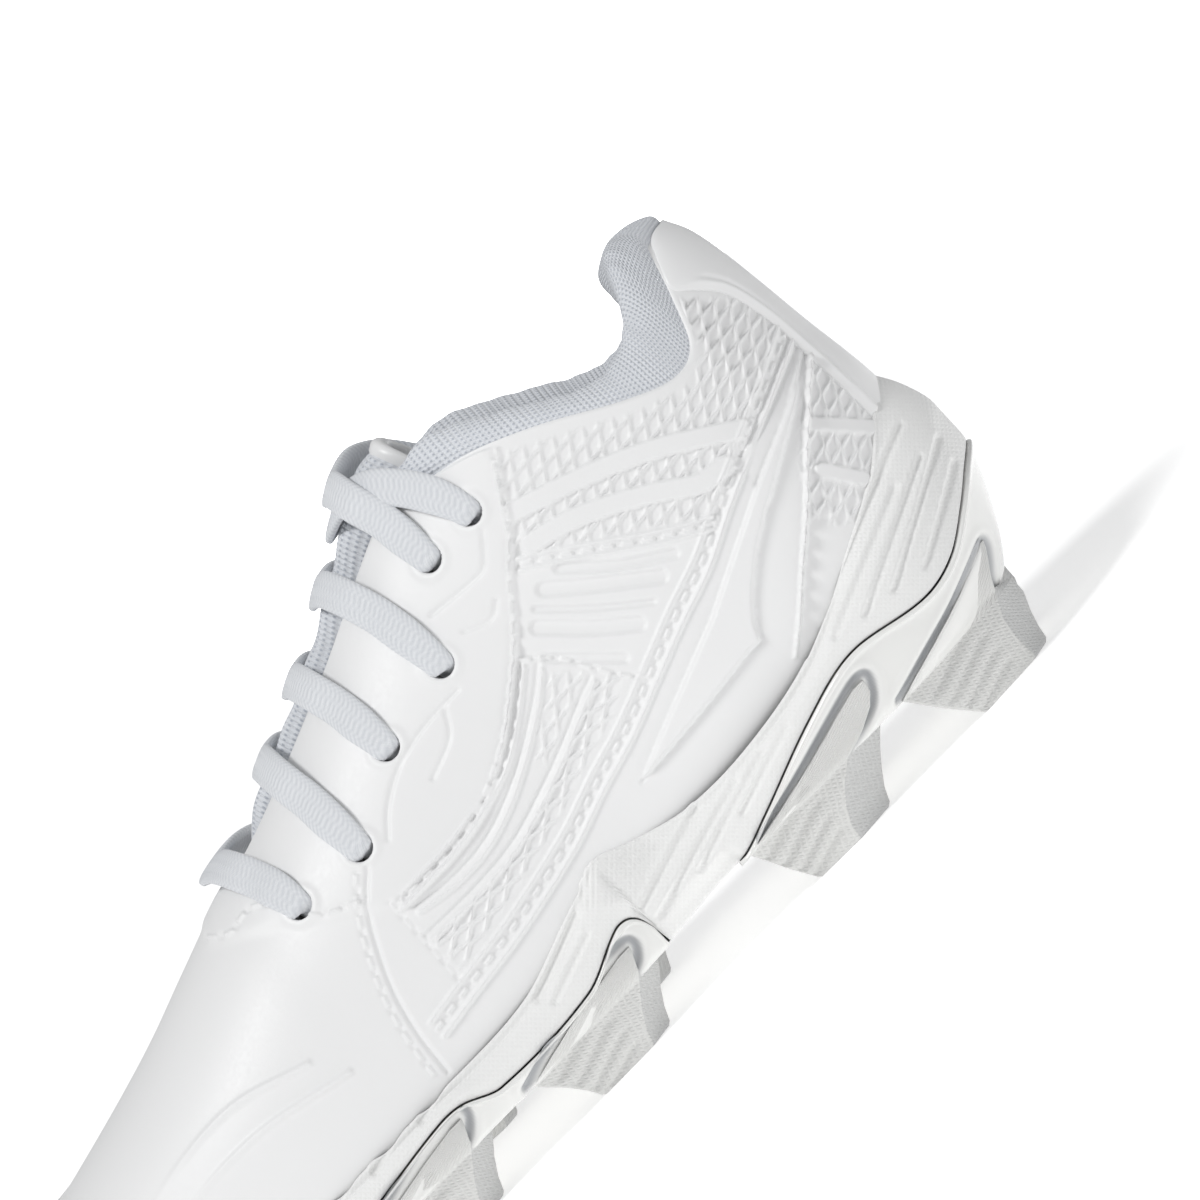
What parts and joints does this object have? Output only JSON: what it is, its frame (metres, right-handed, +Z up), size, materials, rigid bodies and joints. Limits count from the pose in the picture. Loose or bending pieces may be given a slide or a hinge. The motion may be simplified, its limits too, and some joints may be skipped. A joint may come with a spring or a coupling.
{
  "type": "low moulded-stud cleat shoe",
  "caption": "Low lace-up field cleat for a left foot: embossed padded upper over a foam midsole and a two-piece studded plate; stands on its studs, a foot goes in at the collar.",
  "frame": {"origin": "on the ground under the middle of the shoe's bounding box", "axes": "+X towards the heel and -X towards the toe, +Z up from the ground, -Y towards the outer (lateral) side of this left shoe"},
  "size_m": [0.2664, 0.1008, 0.1103],
  "materials": {
    "upper": "satin",
    "mesh": "matte",
    "foam": "matte",
    "sockliner": "matte",
    "board": "matte",
    "stiffener": "matte",
    "midsole": "matte",
    "plate": "gloss",
    "stud": "matte",
    "lace": "matte",
    "aglet": "gloss"
  },
  "bodies": {
    "shoe": {"quarter_lateral": "upper", "quarter_medial": "upper", "vamp": "upper", "facing_lateral": "upper", "facing_medial": "upper", "heel_tab": "upper", "toe_cap": "upper", "vamp_lining": "mesh", "quarter_lining_lateral": "mesh", "quarter_lining_medial": "mesh", "collar_lining": "mesh", "collar_foam": "foam", "sockliner": "sockliner", "strobel_board": "board", "heel_counter": "stiffener", "toe_puff": "stiffener", "midsole": "midsole", "heel_plate": "plate", "forefoot_plate": "plate", "stud_heel_rear_lateral": "stud", "stud_heel_rear_medial": "stud", "stud_heel_front_lateral": "stud", "stud_heel_front_medial": "stud", "stud_forefoot_rear_lateral": "stud", "stud_forefoot_rear_medial": "stud", "stud_forefoot_middle_lateral": "stud", "stud_forefoot_middle_medial": "stud", "stud_forefoot_front_lateral": "stud", "stud_forefoot_front_medial": "stud", "stud_toe": "stud", "lace": "lace", "aglet_a": "aglet", "aglet_b": "aglet"},
    "tongue": {"tongue_cover": "mesh", "tongue_foam": "foam", "tongue_lining": "mesh", "tongue_binding": "upper"}
  },
  "joints": [
    {"name": "tongue_hinge", "type": "hinge", "parent": "shoe", "child": "tongue", "pos_m": [-0.0245, -0.001, 0.0635], "axis": [0, 1, 0], "range_deg": [0, 12], "stiffness_Nm_per_rad": 0.6}
  ]
}
